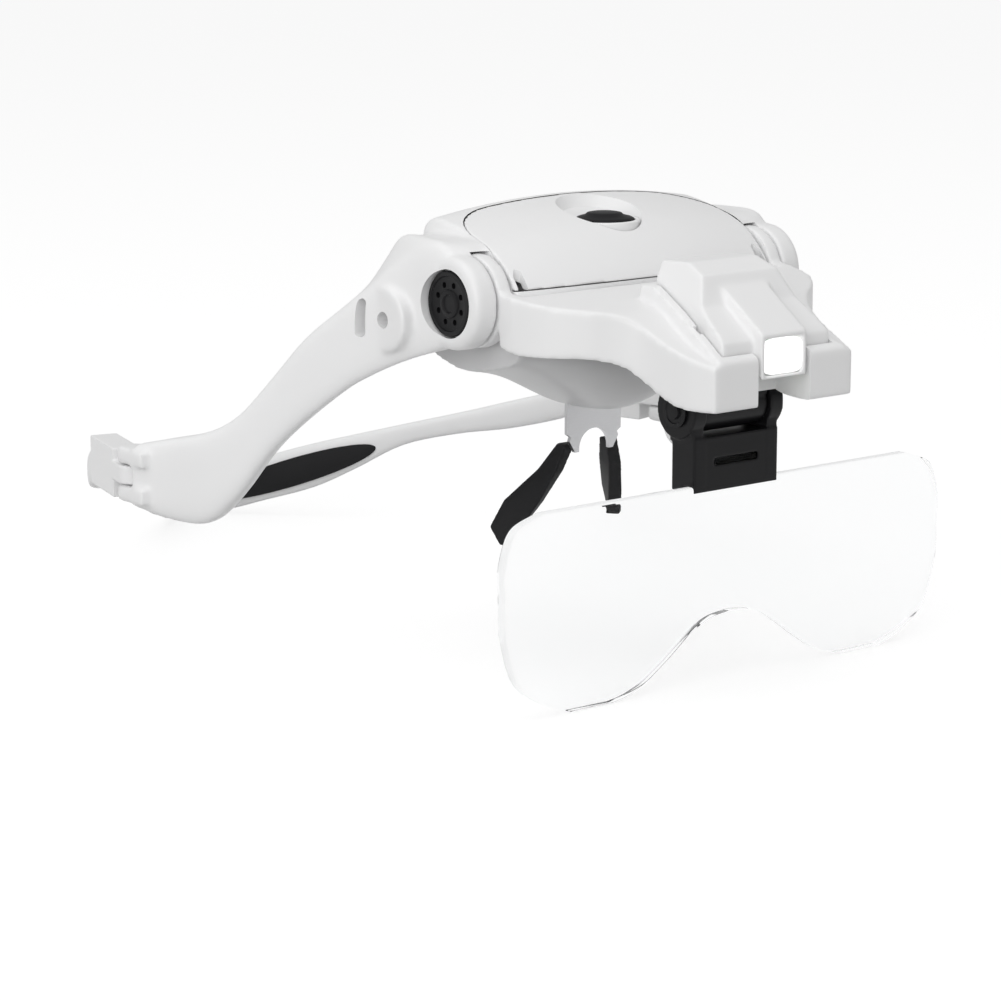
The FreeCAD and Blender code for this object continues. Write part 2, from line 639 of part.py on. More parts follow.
def lamp_housing():
    gap = size("lamp_gap")
    floor = size("pocket_floor") + gap
    base = pocket_prism(-gap, floor, 20)
    rear = size("lamp_axis_back") + 2.6
    side = [(rear, floor + 2.0), (rear, 5.6), (-17.0, 5.9), (-21.5, 4.0), (-24.0, -1.0),
            (-30.0, -5.4), (size("pocket_front") + gap, -6.6), (size("pocket_front") + gap, floor),
            (rear - 4.0, floor)]
    body = base.common(prism([V(-30, y, z) for y, z in side], V(60, 0, 0)))
    foot, shoulder = size("pocket_half_front") + 1.0, size("lamp_shoulder_half")
    roof = [(-foot, -12.0), (foot, -12.0), (foot, -7.6), (shoulder, 5.9), (-shoulder, 5.9), (-foot, -7.6)]
    body = body.common(prism([V(x, -40, z) for x, z in roof], V(0, 40, 0)))
    half = size("window_half") + 0.9
    top = size("window_middle") + size("window_tall") / 2 + 0.8
    low = size("window_middle") - size("window_tall") / 2 - 0.8
    front = size("bracket_front") + 0.3
    ridge = [(-17.0, 5.9), (front, top), (front, low), (-27.0, floor), (-17.0, floor)]
    nose = prism([V(-half, y, z) for y, z in ridge], V(2 * half, 0, 0))
    body = body.fuse(nose)
    inner_half = size("window_half")
    body = body.cut(block(-inner_half, inner_half, front - 1, front + 7.0,
                          size("window_middle") - size("window_tall") / 2,
                          size("window_middle") + size("window_tall") / 2))
    pin_y, pin_z = size("lamp_axis_back"), size("lamp_axis_up")
    reach = lamp_pin_reach()
    body = body.cut(x_rod(size("lamp_pin_radius") + size("running_gap"), -reach, reach, pin_y, pin_z))
    return solid_piece("lamp_housing", body)


def lamp_insides():
    front = size("bracket_front") + 0.3
    half = size("window_half") - 0.1
    low = size("window_middle") - size("window_tall") / 2 + 0.1
    high = size("window_middle") + size("window_tall") / 2 - 0.1
    thick = size("window_thick")
    solid_piece("lamp_window", block(-half, half, front, front + thick, low, high))
    board_front = front + 4.6
    solid_piece("lamp_board", block(-half, half, board_front, board_front + 1.0, low, high))
    leds = []
    for x in (-2.1, 2.1):
        leds.append(rod(1.4, V(x, board_front, size("window_middle")),
                        V(x, board_front - 2.2, size("window_middle"))))
    group_piece("leds", leds)
    pin_y, pin_z = size("lamp_axis_back"), size("lamp_axis_up")
    pins = []
    for _name, side in SIDES:
        pins.append(on_side(x_rod(size("lamp_pin_radius"), size("pocket_half_rear") - 3.4,
                                  lamp_pin_reach(), pin_y, pin_z), side))
    group_piece("lamp_pins", pins)


# ---------------------------------------------------------------- lens holder and lens

def lens_holder():
    axis_y, axis_z = size("holder_axis_back"), size("holder_axis_up")
    ear_from = size("lug_half") + size("ear_gap")
    half = size("holder_half")
    face = size("holder_face")
    low = size("holder_low")
    rear = face + size("holder_deep")
    top_of_box = axis_z - size("ear_radius") + 0.4
    outer = block(-half, half, face, rear, low, top_of_box)
    ear = x_rod(size("ear_radius"), ear_from, ear_from + size("ear_thick"), axis_y, axis_z)
    cheek = block(ear_from, half, face + 0.2, rear + 0.6, top_of_box - 1.0, axis_z)
    body = outer.fuse([ear, mirrored(ear), cheek, mirrored(cheek)])
    slot_half = size("lens_tab_half") + 0.15
    slot_front = size("lens_back") - size("lens_thick") - 0.15
    slot_back = size("lens_back") + 0.15
    slot_top = lens_top() + size("lens_tab_tall") + 0.15
    body = body.cut(block(-slot_half, slot_half, slot_front, slot_back, low - 1, slot_top))
    body = body.cut(block(-half - 1, half + 1, slot_front, slot_back, low - 1, lens_top() + 0.15))
    window = block(-5.2, 5.2, face - 1, slot_front + 0.1, slot_top - 4.6, slot_top - 3.4)
    body = body.cut(window)
    body = body.cut(x_rod(size("holder_pin_radius") + size("running_gap"), -20, 20, axis_y, axis_z))
    return solid_piece("lens_holder", body)


def lens_top():
    """Height of the lens's long top edge, whose lobes reach the ground."""
    return size("lens_tall") - size("stand_up")


def holder_pin():
    """One pin through both ears and the lug, with a stepped round head at each end."""
    across = "Sizes.holder_axis_back"
    up = "Sizes.holder_axis_up"
    reach = "(Sizes.lug_half + Sizes.ear_gap + Sizes.ear_thick)"
    return round_piece("holder_pin", "YZ_Plane", across, up, (
        ("Pad", "Sizes.holder_pin_radius", "-" + reach + " - 0.9", "2 * " + reach + " + 1.8"),
        ("Pad", "Sizes.holder_pin_radius * 1.9", reach + " + 0.15", "0.45"),
        ("Pad", "Sizes.holder_pin_radius * 1.9", "-" + reach + " - 0.6", "0.45")))


def lens_outline():
    """Half outline of the lens: top edge, rounded corner, lobe and nose notch."""
    half = size("lens_half")
    top = lens_top()
    low = top - size("lens_tall")
    r = size("lens_corner")
    lobe = size("lens_lobe")
    notch = size("nose_notch_half")
    notch_top = low + size("nose_notch_tall")
    tab = size("lens_tab_half")
    tab_top = top + size("lens_tab_tall")

    def at(x, z):
        return V(x, size("lens_back"), z)
    line = Part.LineSegment
    arc = Part.Arc
    bend = r * (1 - math.sqrt(0.5))
    edges = [
        line(at(0, tab_top), at(tab, tab_top)),
        line(at(tab, tab_top), at(tab, top)),
        line(at(tab, top), at(half - r, top)),
        arc(at(half - r, top), at(half - bend, top - bend), at(half, top - r)),
        line(at(half, top - r), at(half - 0.4, low + lobe)),
        arc(at(half - 0.4, low + lobe), at(half - 4.2, low + lobe * 0.36), at(half - lobe, low)),
        line(at(half - lobe, low), at(notch * 2.55, low)),
        arc(at(notch * 2.55, low), at(notch * 2.0, low + 1.5), at(notch * 1.5, low + 4.8)),
        line(at(notch * 1.5, low + 4.8), at(notch * 0.86, notch_top - 2.7)),
        arc(at(notch * 0.86, notch_top - 2.7), at(notch * 0.46, notch_top - 0.7), at(0, notch_top)),
    ]
    return [edge.toShape() for edge in edges]


def magnifier_lens():
    right = lens_outline()
    left = [edge.mirror(V(0, 0, 0), X_AXIS) for edge in right]
    wire = Part.Wire(Part.__sortEdges__(right + left))
    plate = Part.Face(wire).extrude(V(0, -size("lens_thick"), 0))
    return solid_piece("magnifier_lens", plate)


# ---------------------------------------------------------------- nose rest

def nose_plate():
    """A bent steel plate: a straight tongue, a round arch and two short splayed legs."""
    half = size("nose_plate_half")
    thick = size("nose_plate_thick")
    back = size("nose_plate_back")
    top, low = size("nose_plate_top"), size("nose_plate_low")
    arch = size("nose_arch_radius")
    outline = [(-half, top), (half, top), (half, low + 3.6), (half - 0.9, low + 3.0),
               (half - 0.6, low + 2.2), (half - 1.9, low), (half - 2.9, low),
               (-half + 2.9, low), (-half + 1.9, low), (-half + 0.6, low + 2.2),
               (-half + 0.9, low + 3.0), (-half, low + 3.6)]
    plate = prism([V(x, back - thick / 2, z) for x, z in outline], V(0, thick, 0))
    hole = rod(arch, V(0, back - 2, low + 0.6), V(0, back + 2, low + 0.6))
    plate = plate.cut(hole.fuse(block(-arch, arch, back - 2, back + 2, low - 5, low + 0.6)))
    return solid_piece("nose_plate", plate)


def nose_pad(name, side):
    """A rubber pad hanging from one leg, flaring out and back down the nose."""
    thick = size("nose_pad_thick")
    back = size("nose_plate_back")
    low = size("nose_plate_low")
    half = size("nose_plate_half")
    rings = []
    stations = ((half - 1.4, 0.0, low + 1.6, 2.4, 0.0), (half + 0.4, 1.0, low - 3.5, 4.6, 10.0),
                (half + 2.6, 3.6, low - 9.5, 7.6, 26.0), (half + 4.8, 6.4, low - 14.5, 6.6, 34.0),
                (half + 6.0, 7.4, low - 17.8, 3.0, 36.0))
    for x, y, z, wide, turn in stations:
        swing = math.radians(turn)
        ux, uy = math.sin(swing), math.cos(swing)
        rings.append([V(x - uy * thick / 2, back + 0.4 + y + ux * thick / 2, z),
                      V(x - uy * thick / 2 + ux * wide, back + 0.4 + y + uy * wide, z),
                      V(x + uy * thick / 2 + ux * wide, back + 0.4 + y + uy * wide - ux * thick, z),
                      V(x + uy * thick / 2, back + 0.4 + y - ux * thick / 2, z)])
    pad = skinned([[V(p.x, p.y, p.z) for p in ring] for ring in rings])
    return solid_piece(name + "_nose_pad", on_side(pad, side))


# ---------------------------------------------------------------- temples

def turned(shape, side, angle, up):
    """Turn a shape about this side's hinge, inwards by the angle."""
    placed = shape.copy()
    placed.rotate(hinge_point(1, up), Z_AXIS, angle)
    return on_side(placed, side)


def socket():
    """The knuckle, its web and a rectangular sleeve for the temple arm's plug."""
    _lower, _upper, (low, high) = knuckle_spans()
    axis = hinge_point(1, 0)
    radius = size("knuckle_radius")
    thick, tall = size("socket_thick"), size("socket_tall")
    middle = size("hinge_middle") - 0.6
    start = axis.y + radius + size("part_gap") + 0.7
    end = start + size("socket_long")
    body = rod(radius, hinge_point(1, low), hinge_point(1, high))
    body = body.fuse(block(axis.x - radius, axis.x + radius, axis.y, start + 0.5, low, high))
    body = body.fuse(block(axis.x - thick / 2, axis.x + thick / 2, start, end,
                           middle - tall / 2, middle + tall / 2))
    wall = size("socket_wall")
    body = body.cut(block(axis.x - thick / 2 + wall, axis.x + thick / 2 - wall, start + 2.5, end + 1,
                          middle - tall / 2 + wall, middle + tall / 2 - wall))
    return body.cut(rod(size("hinge_pin_radius") + size("running_gap"), hinge_point(1, -60), hinge_point(1, 0)))


def arm_stations():
    """Along the arm after the elbow: reach, middle height, height, thickness."""
    thick = size("arm_thick")
    return ((0.0, -43.2, 6.6, thick), (11.5, -46.0, 6.0, thick), (23.0, -48.2, 4.6, thick),
            (35.0, -51.0, 4.6, thick), (45.5, -55.0, 7.6, thick), (55.0, -58.4, 9.8, thick),
            (66.0, -61.6, 9.8, thick), (75.0, -64.4, 9.2, thick), (79.6, -65.6, 5.6, thick * 0.7))


def temple_arm():
    """Before turning: the plug runs straight back, the arm leaves the elbow inwards."""
    axis = hinge_point(1, 0)
    thick = size("arm_thick")
    wall, gap = size("socket_wall"), size("plug_gap")
    plug_half = size("socket_thick") / 2 - wall - gap
    plug_tall = size("socket_tall") / 2 - wall - gap
    middle = size("hinge_middle") - 0.6
    start = axis.y + size("knuckle_radius") + size("part_gap") + 3.4
    end = axis.y + size("knuckle_radius") + size("part_gap") + 0.7 + size("socket_long")
    plug = block(axis.x - plug_half, axis.x + plug_half, start, end + 1.0,
                 middle - plug_tall, middle + plug_tall)
    turn = math.radians(size("arm_turn") - size("socket_turn"))
    elbow = V(axis.x, axis.y + size("elbow_reach"), 0)
    along = V(-math.sin(turn), math.cos(turn), 0)
    across = V(math.cos(turn), math.sin(turn), 0)

    def ring(centre, sideways, up, tall, wide):
        edge = min(tall, wide) * 0.3
        flat = [(-1, -1, 0, 1), (-1, 1, 0, -1), (-1, 1, 1, 0), (1, 1, -1, 0),
                (1, 1, 0, -1), (1, -1, 0, 1), (1, -1, -1, 0), (-1, -1, 1, 0)]
        return [centre + sideways * (sx * wide / 2 + ex * edge)
                + V(0, 0, up + sz * tall / 2 + ez * edge) for sx, sz, ex, ez in flat]

    rings = [ring(V(axis.x, end + 0.3, 0), X_AXIS, middle, size("socket_tall") - 1.2, thick + 0.6),
             ring(V(axis.x, elbow.y - 4.0, 0), X_AXIS, middle - 1.6, 7.4, thick)]
    corner = X_AXIS + across
    corner.normalize()
    for reach, up, tall, wide in arm_stations():
        sideways = corner if reach == 0.0 else across
        rings.append(ring(elbow + along * reach, sideways, up, tall, wide))
    return plug.fuse(skinned(rings))


def temple_pad():
    """An oval rubber pad on the leaf's inner face, before turning."""
    axis = hinge_point(1, 0)
    turn = math.radians(size("arm_turn") - size("socket_turn"))
    along = V(-math.sin(turn), math.cos(turn), 0)
    inward = V(-math.cos(turn), -math.sin(turn), 0)
    middle = V(axis.x, axis.y + size("elbow_reach"), 0) + along * 60.0
    middle = middle + inward * (size("arm_thick") / 2)
    half, tall = size("temple_pad_long") / 2, size("temple_pad_tall") / 2
    slope = (-64.4 + 55.0) / 29.5
    oval = []
    for step in range(24):
        angle = math.radians(step * 15.0)
        reach = half * math.cos(angle)
        oval.append(middle + along * reach + V(0, 0, -60.0 + slope * reach + tall * math.sin(angle)))
    return prism(oval, inward * size("temple_pad_thick"))


def temples():
    pins = []
    low = size("hinge_middle") - size("knuckle_height") / 2
    high = low + size("knuckle_height")
    for name, side in SIDES:
        turn = size("socket_turn")
        solid_piece(name + "_temple_socket", turned(socket(), side, turn, 0))
        solid_piece(name + "_temple_arm", turned(temple_arm(), side, turn, 0))
        solid_piece(name + "_temple_pad", turned(temple_pad(), side, turn, 0))
        pins.append(on_side(rod(size("hinge_pin_radius") - 0.0, hinge_point(1, low + 0.3),
                                hinge_point(1, high - 0.3)), side))
    group_piece("temple_hinge_pins", pins)


# ---------------------------------------------------------------- screws

def small_screws():
    screws = []
    for x, y in case_screw_places():
        head = size("housing_floor") - 1.6
        shank = rod(size("case_screw_radius"), V(x, y, head), V(x, y, head + 6.0))
        screws.append(shank.fuse(rod(size("case_screw_head"), V(x, y, head - 1.3), V(x, y, head))))
    group_piece("case_screws", screws)
    wing_screws = []
    for _name, side in SIDES:
        place = (size("wing_hole_back"), size("wing_hole_up"))
        floor = size("wing_pad_face") - size("wing_hole_deep")
        screw = x_rod(size("wing_screw_radius"), floor - 3.2, floor, *place)
        wing_screws.append(on_side(screw, side))
    group_piece("wing_screws", wing_screws)


# ---------------------------------------------------------------- assembly

main_frame()
housing_bottom()
battery_cover()
button_group()
batteries()
battery_tray()
contacts()
pivots()
front_bracket()
lamp_housing()
lamp_insides()
lens_holder()
holder_pin()
magnifier_lens()
nose_plate()
for pad_name, pad_side in SIDES:
    nose_pad(pad_name, pad_side)
temples()
small_screws()
doc.recompute()

for thing in doc.Objects:
    if "Invalid" in thing.State or "Error" in thing.State:
        raise RuntimeError("%s did not build: %s" % (thing.Name, thing.State))
for label, thing in pieces.items():
    if thing.Shape.isNull() or not thing.Shape.isValid():
        raise RuntimeError("%s has no valid shape" % label)

os.makedirs("parts", exist_ok=True)
for label, thing in pieces.items():
    thing.Shape.exportStep("parts/%s.step" % label)
print(len(pieces), "pieces written")
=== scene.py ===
import json
import math
import bmesh
import bpy
import numpy as np
from mathutils import Matrix, Vector


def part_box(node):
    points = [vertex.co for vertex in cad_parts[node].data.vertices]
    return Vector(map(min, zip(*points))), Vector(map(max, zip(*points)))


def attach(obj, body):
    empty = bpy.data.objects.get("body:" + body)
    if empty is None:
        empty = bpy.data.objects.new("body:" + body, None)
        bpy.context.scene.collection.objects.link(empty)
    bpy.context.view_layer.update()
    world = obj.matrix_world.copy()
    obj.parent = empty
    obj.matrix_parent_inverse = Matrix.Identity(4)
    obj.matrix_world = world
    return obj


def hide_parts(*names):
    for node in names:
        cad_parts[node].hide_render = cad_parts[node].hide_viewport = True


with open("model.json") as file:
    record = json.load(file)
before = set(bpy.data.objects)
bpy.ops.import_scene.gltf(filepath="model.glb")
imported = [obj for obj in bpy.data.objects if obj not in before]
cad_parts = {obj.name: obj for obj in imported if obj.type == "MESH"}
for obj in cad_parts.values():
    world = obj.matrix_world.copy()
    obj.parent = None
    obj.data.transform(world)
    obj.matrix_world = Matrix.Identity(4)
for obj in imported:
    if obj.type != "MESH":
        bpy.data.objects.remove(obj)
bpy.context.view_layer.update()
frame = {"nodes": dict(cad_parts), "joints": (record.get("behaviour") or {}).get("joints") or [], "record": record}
scene = bpy.context.scene
MM = 0.001

# Drawing datum: sizes below are millimetres from a line just ahead of the forehead
# housing. X runs across the head, Y back over it and Z up.
tilt = next(j for j in frame["joints"] if j["name"] == "bracket_tilt")
PIVOT = Vector((0, 11.8, -2.0))
DATUM = Vector(tilt["pos_m"]) - PIVOT * MM
SIDES = (("left", -1), ("right", 1))


def place(x, y, z):
    """A drawing point in metres."""
    return DATUM + Vector((x, y, z)) * MM


# ---------------------------------------------------------------- mesh helpers

def mesh_piece(name, points, faces):
    mesh = bpy.data.meshes.new(name)
    mesh.from_pydata([place(*p) for p in points], [], faces)
    tidy = bmesh.new()
    tidy.from_mesh(mesh)
    bmesh.ops.recalc_face_normals(tidy, faces=tidy.faces)
    tidy.to_mesh(mesh)
    tidy.free()
    piece = bpy.data.objects.new(name, mesh)
    scene.collection.objects.link(piece)
    return piece


def loft(name, rings):
    """A closed skin through rings with the same number of points."""
    count = len(rings[0])
    points = [p for ring in rings for p in ring]
    faces = []
    for k in range(len(rings) - 1):
        for i in range(count):
            j = (i + 1) % count
            faces.append((k * count + i, k * count + j, (k + 1) * count + j, (k + 1) * count + i))
    faces.append(tuple(range(count)))
    faces.append(tuple((len(rings) - 1) * count + i for i in range(count)))
    return mesh_piece(name, points, faces)


def eased(rows, steps, closed=False):
    """Rows of numbers joined by a smooth curve, with steps points for each span."""
    rows = np.array(rows, float)
    count = len(rows)
    pad = np.vstack([rows[-1:], rows, rows[:2]]) if closed else np.vstack(
        [2 * rows[0] - rows[1], rows, 2 * rows[-1] - rows[-2]])
    spans = count if closed else count - 1
    out = []
    for k in range(spans):
        a, b, c, d = pad[k:k + 4]
        for t in np.arange(steps) / steps:
            out.append(0.5 * (2 * b + (c - a) * t + (2 * a - 5 * b + 4 * c - d) * t ** 2
                              + (3 * b - a - 3 * c + d) * t ** 3))
    if not closed:
        out.append(rows[-1])
    return [tuple(float(v) for v in row) for row in out]


def oval(centre, across, up, squareness=2.0, count=36):
    """A ring of points round a centre, rounder or squarer as asked."""
    centre, across, up = Vector(centre), Vector(across), Vector(up)
    ring = []
    for i in range(count):
        turn = 2 * math.pi * (i + 0.5) / count
        c, s = math.cos(turn), math.sin(turn)
        share = 2 / squareness
        ring.append(tuple(centre + across * math.copysign(abs(c) ** share, c)
                          + up * math.copysign(abs(s) ** share, s)))
    return ring


def slab(name, outline, low, high, axis="Z"):
    """A straight-sided block over an outline, standing along the axis."""
    if axis == "Z":
        return loft(name, [[(x, y, h) for x, y in outline] for h in (low, high)])
    if axis == "X":
        return loft(name, [[(h, y, z) for y, z in outline] for h in (low, high)])
    return loft(name, [[(x, h, z) for x, z in outline] for h in (low, high)])


def box_piece(x_from, x_to, y_from, y_to, z_from, z_to):
    return slab("block", [(x_from, y_from), (x_to, y_from), (x_to, y_to), (x_from, y_to)], z_from, z_to)


def turned_piece(name, profile, centre, axis="X", side=1, count=72):
    """A lathe-turned piece: (distance along the axis, radius) pairs, closed at both ends."""
    cx, cy, cz = centre
    rings = []
    for along, radius in profile:
        ring = []
        for i in range(count):
            turn = 2 * math.pi * i / count
            c, s = radius * math.cos(turn), radius * math.sin(turn)
            if axis == "X":
                ring.append((cx + side * along, cy + c, cz + s))
            else:
                ring.append((cx + c, cy + s, cz + along))
        rings.append(ring)
    return loft(name, rings)


def bar_x(radius, x_from, x_to, back, up, side=1, edge=0.0, count=72):
    steps = [(x_from, radius), (x_to, radius)]
    if edge:
        steps = [(x_from, radius)]
        for k in range(7):
            turn = math.radians(15 * k)
            steps.append((x_to - edge + edge * math.sin(turn), radius - edge + edge * math.cos(turn)))
    return turned_piece("bar", steps, (0, back, up), "X", side, count)


def evaluated(piece):
    """The piece with its modifiers worked into its mesh."""
    bpy.context.view_layer.update()
    mesh = bpy.data.meshes.new_from_object(piece.evaluated_get(bpy.context.evaluated_depsgraph_get()))
    piece.modifiers.clear()
    piece.data = mesh
    return piece


def drop(piece):
    bpy.data.objects.remove(piece)


def joined(name, pieces):
    whole = bmesh.new()
    for piece in pieces:
        whole.from_mesh(piece.data)
        drop(piece)
    mesh = bpy.data.meshes.new(name)
    whole.to_mesh(mesh)
    whole.free()
    piece = bpy.data.objects.new(name, mesh)
    scene.collection.objects.link(piece)
    return piece


def fused(name, pieces, grain, rounds):
    """One skin over overlapping closed pieces, its edges eased by rounds of smoothing."""
    piece = joined(name, pieces)
    skin = piece.modifiers.new("skin", "REMESH")
    skin.mode = "VOXEL"
    skin.voxel_size = grain * MM
    if rounds:
        ease = piece.modifiers.new("ease", "SMOOTH")
        ease.factor = 0.5
        ease.iterations = rounds
    return evaluated(piece)


def cut(piece, cutters, how="DIFFERENCE"):
    for cutter in cutters:
        tool = piece.modifiers.new("cut", "BOOLEAN")
        tool.operation = how
        tool.solver = "EXACT"
        tool.object = cutter
        evaluated(piece)
        drop(cutter)
    return piece


def copied(piece, name):
    twin = bpy.data.objects.new(name, piece.data.copy())
    scene.collection.objects.link(twin)
    return twin


def mirrored(piece, name="mirror"):
    twin = copied(piece, name)
    twin.data.transform(Matrix.Scale(-1, 4, (1, 0, 0)))
    twin.data.flip_normals()
    return twin


def from_node(node, name):
    """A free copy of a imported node's shape, to be finished further."""
    return copied(frame["nodes"][node], name)


def bevelled(piece, width, steps=3, angle=35):
    edge = piece.modifiers.new("edge", "BEVEL")
    edge.width = width * MM
    edge.segments = steps
    edge.limit_method = "ANGLE"
    edge.angle_limit = math.radians(angle)
    return evaluated(piece)


def smooth(piece, angle=40):
    piece.data.shade_smooth()
    bpy.context.view_layer.objects.active = piece
    piece.select_set(True)
    bpy.ops.object.shade_smooth_by_angle(angle=math.radians(angle))
    evaluated(piece)
    piece.select_set(False)
    return piece


# ---------------------------------------------------------------- finishes

class Value:
    """A socket that takes part in sums."""

    def __init__(self, finish, socket):
        self.finish, self.socket = finish, socket

    def _math(self, kind, first, second):
        return self.finish.node("ShaderNodeMath", {"operation": kind}, {0: first, 1: second})

    def __add__(self, other):
        return self._math("ADD", self, other)

    def __sub__(self, other):
        return self._math("SUBTRACT", self, other)

    def __rsub__(self, other):
        return self._math("SUBTRACT", other, self)

    def __mul__(self, other):
        return self._math("MULTIPLY", self, other)

    __radd__ = __add__
    __rmul__ = __mul__


class Finish:
    """A material, or the world, under construction."""

    def __init__(self, name, world=None):
        self.material = world or bpy.data.materials.new(name)
        self.material.use_nodes = True
        self.tree = self.material.node_tree
        self.tree.nodes.clear()

    def node(self, kind, settings=None, inputs=None, output=0):
        """Any node: its settings first, then the values or links of its sockets."""
        made = self.tree.nodes.new(kind)
        for key, setting in (settings or {}).items():
            setattr(made, key, setting)
        for key, value in (inputs or {}).items():
            if isinstance(value, Value):
                self.tree.links.new(value.socket, made.inputs[key])
            else:
                made.inputs[key].default_value = value
        return Value(self, made.outputs[output]) if len(made.outputs) else None

    def noise(self, scale, detail=2.0, roughness=0.5, stretch=(1, 1, 1)):
        spot = self.node("ShaderNodeTexCoord", output="Object")
        spot = self.node("ShaderNodeMapping", {}, {"Vector": spot, "Scale": stretch})
        return self.node("ShaderNodeTexNoise", {}, {"Vector": spot, "Scale": scale, "Detail": detail,
                                                    "Roughness": roughness})

    def mixed(self, share, first, second):
        """Two colours mixed by share; the Mix node keeps its colours in sockets 6 and 7."""
        return self.node("ShaderNodeMix", {"data_type": "RGBA"},
                         {0: share, 6: (*first, 1), 7: (*second, 1)}, output=2)

    def bump(self, height, strength, distance):
        return self.node("ShaderNodeBump", {}, {"Height": height, "Strength": strength, "Distance": distance})

    def surface(self, **inputs):
        named = {key.replace("_", " "): value for key, value in inputs.items()}
        self.finished(self.node("ShaderNodeBsdfPrincipled", {}, named))
        return self.material

    def finished(self, shader):
        self.node("ShaderNodeOutputMaterial", {}, {"Surface": shader})
        return self.material


def moulded(name, light, dark, gloss, texture=900.0, lift=0.05, shine=0.5):
    """Injection-moulded plastic: faint flow clouds in colour, a fine sparked surface."""
    finish = Finish(name)
    clouds = finish.noise(45.0, 3.0)
    sparks = finish.noise(texture * 4, 2.0, 0.6)
    return finish.surface(Base_Color=finish.mixed(clouds, dark, light),
                          Roughness=clouds * 0.08 + (gloss - 0.04),
                          Normal=finish.bump(sparks, lift, 0.00005),
                          Specular_IOR_Level=shine)


def metal(name, light, dark, gloss, stretch=(1, 1, 30)):
    finish = Finish(name)
    grain = finish.noise(900.0, 3.0, 0.6, stretch)
    return finish.surface(Base_Color=finish.mixed(grain, dark, light), Metallic=1.0,
                          Roughness=grain * 0.14 + (gloss - 0.07),
                          Normal=finish.bump(grain, 0.12, 0.00003))


def wrapped_cell():
    """A plain shrink-wrapped cell with slightly uneven wrap."""
    finish = Finish("battery_case")
    ripple = finish.noise(160.0, 2.0)
    return finish.surface(Base_Color=finish.mixed(ripple, (0.06, 0.07, 0.09), (0.12, 0.13, 0.16)),
                          Roughness=ripple * 0.1 + 0.25, Normal=finish.bump(ripple, 0.1, 0.0001))


def acrylic():
    """Polished clear sheet, a trace of smear in its gloss."""
    finish = Finish("clear_lens")
    smear = finish.noise(30.0, 2.0)
    return finish.surface(Base_Color=(0.968, 0.972, 0.974, 1), IOR=1.14, Transmission_Weight=1.0,
                          Roughness=smear * 0.02 + 0.005)


def diffuser():
    finish = Finish("lamp_diffuser")
    facets = finish.noise(700.0, 2.0)
    return finish.surface(Base_Color=finish.mixed(facets, (0.93, 0.93, 0.93), (1.0, 1.0, 1.0)), IOR=1.49,
                          Transmission_Weight=0.35, Roughness=facets * 0.2 + 0.15,
                          Emission_Color=finish.mixed(facets, (0.75, 0.75, 0.75), (1.0, 1.0, 1.0)),
                          Emission_Strength=0.45, Normal=finish.bump(facets, 0.5, 0.0003))


def led_resin():
    finish = Finish("led_body")
    haze = finish.noise(300.0, 2.0)
    return finish.surface(Base_Color=finish.mixed(haze, (0.9, 0.86, 0.6), (0.96, 0.95, 0.85)),
                          Roughness=haze * 0.1 + 0.12, Emission_Color=(1, 0.97, 0.9, 1),
                          Emission_Strength=0.6)


FINISHES = {
    "white_shell": moulded("white_shell", (0.87, 0.87, 0.872), (0.84, 0.84, 0.842), 0.36, lift=0.04),
    # Painted shade: a darker grey copy of the white shell, standing for the shade on the housing's underside.
    "painted_shade_shell": moulded("painted_shade_shell", (0.66, 0.66, 0.665), (0.63, 0.63, 0.635), 0.4, lift=0.04),
    "black_plastic": moulded("black_plastic", (0.012, 0.012, 0.013), (0.006, 0.006, 0.007), 0.36,
                             lift=0.12, shine=0.16),
    "black_rubber": moulded("black_rubber", (0.016, 0.016, 0.017), (0.009, 0.009, 0.010), 0.55,
                            lift=0.2, shine=0.14),
    "grey_plastic": moulded("grey_plastic", (0.46, 0.46, 0.47), (0.40, 0.40, 0.41), 0.5),
    "board_green": moulded("board_green", (0.03, 0.22, 0.10), (0.02, 0.16, 0.07), 0.4),
    "satin_steel": metal("satin_steel", (0.62, 0.62, 0.63), (0.5, 0.5, 0.51), 0.38),
    "screw_steel": metal("screw_steel", (0.72, 0.72, 0.73), (0.6, 0.6, 0.61), 0.28, (1, 1, 1)),
    "contact_metal": metal("contact_metal", (0.8, 0.76, 0.66), (0.7, 0.66, 0.55), 0.3),
    "battery_case": wrapped_cell(),
    "clear_lens": acrylic(),
    "lamp_diffuser": diffuser(),
    "led_body": led_resin(),
}


def dressed(piece, slot, body, *nodes, angle=40, finish=None):
    """Gives a finished piece its material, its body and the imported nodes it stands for."""
    piece.data.materials.clear()
    piece.data.materials.append(FINISHES[finish or slot])
    smooth(piece, angle)
    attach(piece, body)
    if nodes:
        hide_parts(*nodes)
    return piece


# ---------------------------------------------------------------- forehead housing

# Side outline of the housing at the centre plane, from its front foot over the top.
CROWN = [(2.2, -9.0), (2.0, -4.0), (2.2, 0.6), (5.6, 5.6), (10.4, 9.4), (16.6, 11.7), (23.0, 13.1),
         (27.6, 13.5), (30.2, 11.8), (31.0, 8.0), (31.0, 0.0), (30.8, -9.0)]
CROWN_HALF = 30.4
CROWN_DROP = 2.6
CROWN_FRONT, CROWN_REAR = 2.0, 31.0
BUTTON_SPOT = (0, 15.3, 0)
WING_HOLE = (25.3, -6.1)
HOLDER_PIN = (-17.0, -20.2)


def crown(name, inset, half, floor):
    line = eased(CROWN, 5)
    rings = []
    for k in range(25):
        x = half * (k / 12 - 1)
        drop_here = CROWN_DROP * (x / CROWN_HALF) ** 2
        ring = []
        for y, z in line:
            front, rear = CROWN_FRONT + inset, CROWN_REAR - inset
            top = z - drop_here - inset if z > -3.9 else z
            if y < front or y > rear:
                y += inset if y < 15 else -inset
            ring.append((x, min(max(y, front), rear), top))
        ring[0] = (x, ring[0][1], floor)
        ring[-1] = (x, ring[-1][1], floor)
        rings.append(ring)
    return loft(name, rings)


